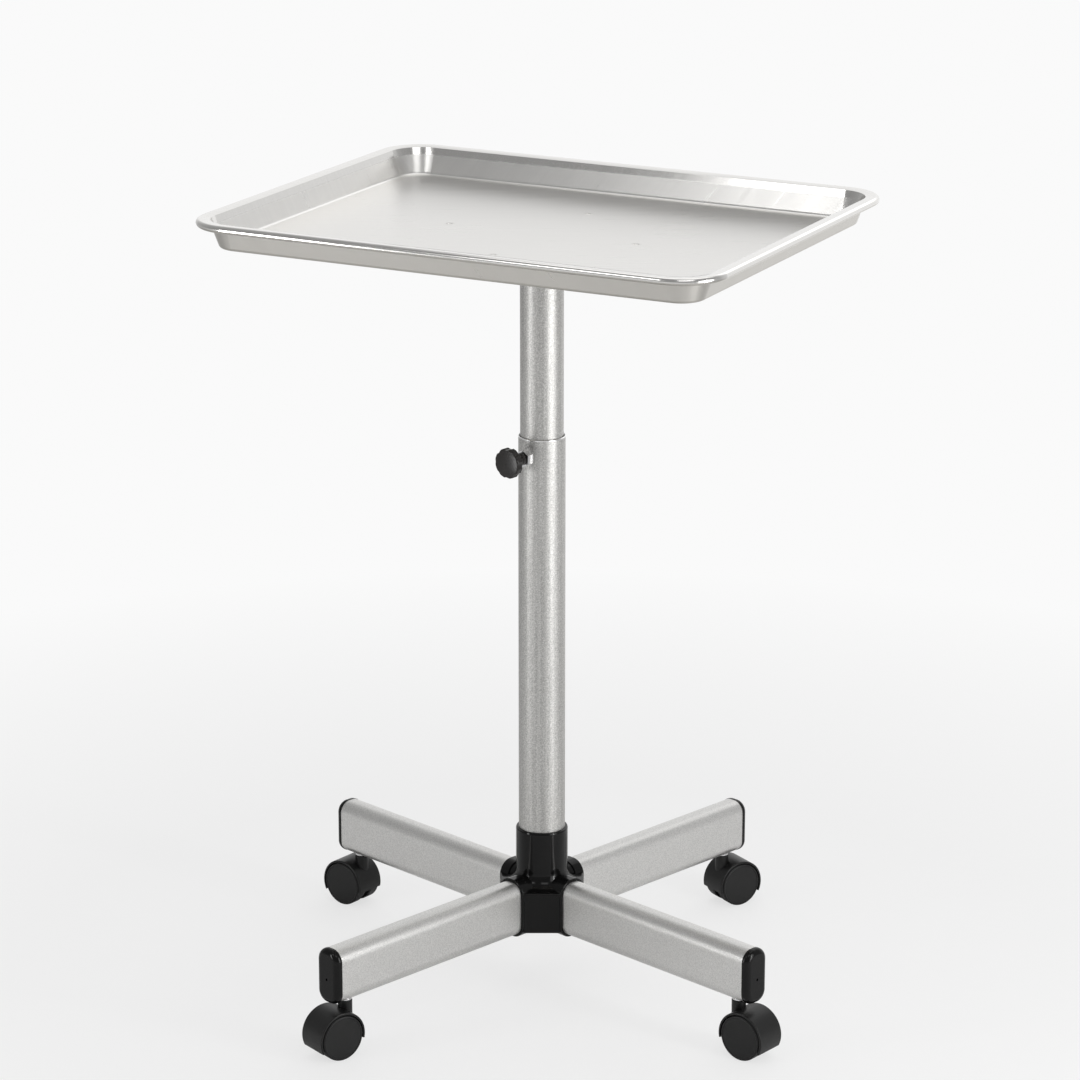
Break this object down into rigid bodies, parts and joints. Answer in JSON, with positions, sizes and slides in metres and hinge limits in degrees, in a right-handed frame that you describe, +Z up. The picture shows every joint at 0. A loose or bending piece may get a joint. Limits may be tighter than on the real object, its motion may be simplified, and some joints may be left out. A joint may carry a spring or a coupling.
{
  "type": "rolling tray cart",
  "caption": "Rolling tray cart: rimmed steel tray on a telescopic column with a clamp knob, cross base of flat oval legs, and swivel casters.",
  "frame": {"origin": "on the floor under the column's axis", "axes": "+Z up; X to the right and Y away from a viewer in front; legs on the diagonals"},
  "size_m": [0.5744, 0.5324, 0.697],
  "materials": {
    "stainless": "satin stainless sheet with bright rolled rim",
    "steel": "plain zinc plated steel",
    "column_paint": "silver sparkle paint",
    "leg_satin": "silver satin",
    "black_gloss": "glossy black moulding",
    "black_satin": "satin black moulding",
    "wheel_black": "fine grained black nylon",
    "bright_chrome": "bright plating"
  },
  "bodies": {
    "base": {"base_hub": "black_gloss", "outer_tube": "column_paint", "column_insert": "steel", "hub_bolt": "steel", "hub_washer": "steel", "leg_screws": "steel", "stem_grip_rings": "steel", "clamp_nut": "bright_chrome", "leg_front_left": "leg_satin", "leg_cap_front_left": "black_gloss", "caster_stem_front_left": "bright_chrome", "leg_front_right": "leg_satin", "leg_cap_front_right": "black_gloss", "caster_stem_front_right": "bright_chrome", "leg_back_left": "leg_satin", "leg_cap_back_left": "black_gloss", "caster_stem_back_left": "bright_chrome", "leg_back_right": "leg_satin", "leg_cap_back_right": "black_gloss", "caster_stem_back_right": "bright_chrome"},
    "tube_guide": {"tube_foot_plug": "black_satin"},
    "mast": {"inner_tube": "column_paint", "tray_spigot": "steel", "tray_cross": "steel", "tray": "stainless"},
    "clamp_screw": {"clamp_screw": "steel"},
    "clamp_knob": {"clamp_knob": "black_gloss"},
    "caster_front_left": {"caster_hood_front_left": "black_satin", "caster_axle_front_left": "steel"},
    "wheel_front_left_inner": {"wheel_front_left_inner": "wheel_black"},
    "wheel_front_left_outer": {"wheel_front_left_outer": "wheel_black"},
    "caster_front_right": {"caster_hood_front_right": "black_satin", "caster_axle_front_right": "steel"},
    "wheel_front_right_inner": {"wheel_front_right_inner": "wheel_black"},
    "wheel_front_right_outer": {"wheel_front_right_outer": "wheel_black"},
    "caster_back_left": {"caster_hood_back_left": "black_satin", "caster_axle_back_left": "steel"},
    "wheel_back_left_inner": {"wheel_back_left_inner": "wheel_black"},
    "wheel_back_left_outer": {"wheel_back_left_outer": "wheel_black"},
    "caster_back_right": {"caster_hood_back_right": "black_satin", "caster_axle_back_right": "steel"},
    "wheel_back_right_inner": {"wheel_back_right_inner": "wheel_black"},
    "wheel_back_right_outer": {"wheel_back_right_outer": "wheel_black"}
  },
  "joints": [
    {"name": "height_slide", "type": "slide", "parent": "base", "child": "tube_guide", "axis": [0, 0, 1], "range_m": [-0.146, 0.144]},
    {"name": "tray_turn", "type": "hinge", "parent": "tube_guide", "child": "mast", "pos_m": [0, 0, 0.278], "axis": [0, 0, 1], "continuous": true},
    {"name": "clamp_travel", "type": "slide", "parent": "base", "child": "clamp_screw", "axis": [-0.6428, -0.766, 0], "range_m": [0, 0.0026]},
    {"name": "knob_turn", "type": "hinge", "parent": "clamp_screw", "child": "clamp_knob", "pos_m": [-0.01928, -0.02298, 0.482], "axis": [-0.6428, -0.766, 0], "range_deg": [0, 720]},
    {"name": "swivel_front_left", "type": "hinge", "parent": "base", "child": "caster_front_left", "pos_m": [-0.16688, -0.16688, 0.042], "axis": [0, 0, 1], "continuous": true},
    {"name": "spin_front_left_inner", "type": "hinge", "parent": "caster_front_left", "child": "wheel_front_left_inner", "pos_m": [-0.17662, -0.17422, 0.02], "axis": [0.6018, -0.7986, 0], "continuous": true},
    {"name": "spin_front_left_outer", "type": "hinge", "parent": "caster_front_left", "child": "wheel_front_left_outer", "pos_m": [-0.17662, -0.17422, 0.02], "axis": [0.6018, -0.7986, 0], "continuous": true},
    {"name": "swivel_front_right", "type": "hinge", "parent": "base", "child": "caster_front_right", "pos_m": [0.16688, -0.16688, 0.042], "axis": [0, 0, 1], "continuous": true},
    {"name": "spin_front_right_inner", "type": "hinge", "parent": "caster_front_right", "child": "wheel_front_right_inner", "pos_m": [0.17622, -0.17472, 0.02], "axis": [0.6428, 0.766, 0], "continuous": true},
    {"name": "spin_front_right_outer", "type": "hinge", "parent": "caster_front_right", "child": "wheel_front_right_outer", "pos_m": [0.17622, -0.17472, 0.02], "axis": [0.6428, 0.766, 0], "continuous": true},
    {"name": "swivel_back_left", "type": "hinge", "parent": "base", "child": "caster_back_left", "pos_m": [-0.16688, 0.16688, 0.042], "axis": [0, 0, 1], "continuous": true},
    {"name": "spin_back_left_inner", "type": "hinge", "parent": "caster_back_left", "child": "wheel_back_left_inner", "pos_m": [-0.17636, 0.17455, 0.02], "axis": [-0.6293, -0.7771, 0], "continuous": true},
    {"name": "spin_back_left_outer", "type": "hinge", "parent": "caster_back_left", "child": "wheel_back_left_outer", "pos_m": [-0.17636, 0.17455, 0.02], "axis": [-0.6293, -0.7771, 0], "continuous": true},
    {"name": "swivel_back_right", "type": "hinge", "parent": "base", "child": "caster_back_right", "pos_m": [0.16688, 0.16688, 0.042], "axis": [0, 0, 1], "continuous": true},
    {"name": "spin_back_right_inner", "type": "hinge", "parent": "caster_back_right", "child": "wheel_back_right_inner", "pos_m": [0.17722, 0.17334, 0.02], "axis": [-0.5299, 0.848, 0], "continuous": true},
    {"name": "spin_back_right_outer", "type": "hinge", "parent": "caster_back_right", "child": "wheel_back_right_outer", "pos_m": [0.17722, 0.17334, 0.02], "axis": [-0.5299, 0.848, 0], "continuous": true}
  ],
  "couplings": [
    {"joint": "clamp_travel", "follows": "knob_turn", "m_per_rad": 0.00019894}
  ]
}
